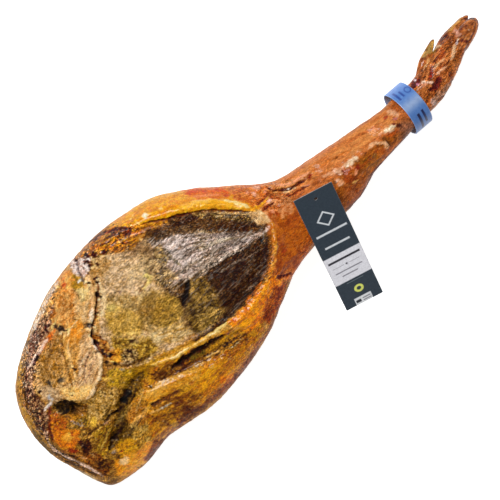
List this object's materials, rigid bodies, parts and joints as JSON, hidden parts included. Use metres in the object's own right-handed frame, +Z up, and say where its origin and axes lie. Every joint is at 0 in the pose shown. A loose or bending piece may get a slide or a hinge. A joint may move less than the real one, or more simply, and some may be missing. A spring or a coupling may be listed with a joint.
{
  "type": "cured ham",
  "caption": "Whole dry-cured ham on the bone with its trotter, lying on its skin with the flesh face up, a plastic band on the shank and a card tag.",
  "frame": {"origin": "middle of the bounding box on the surface that the ham and the tag rest on", "axes": "+X along the ham from the butt towards the claws, +Z up, out of the flesh face"},
  "size_m": [0.76, 0.2991, 0.1223],
  "materials": {
    "ham": "satin",
    "band": "satin",
    "tag": "satin"
  },
  "bodies": {
    "root": {"ham": "ham", "band": "band", "tag": "tag"}
  },
  "joints": []
}
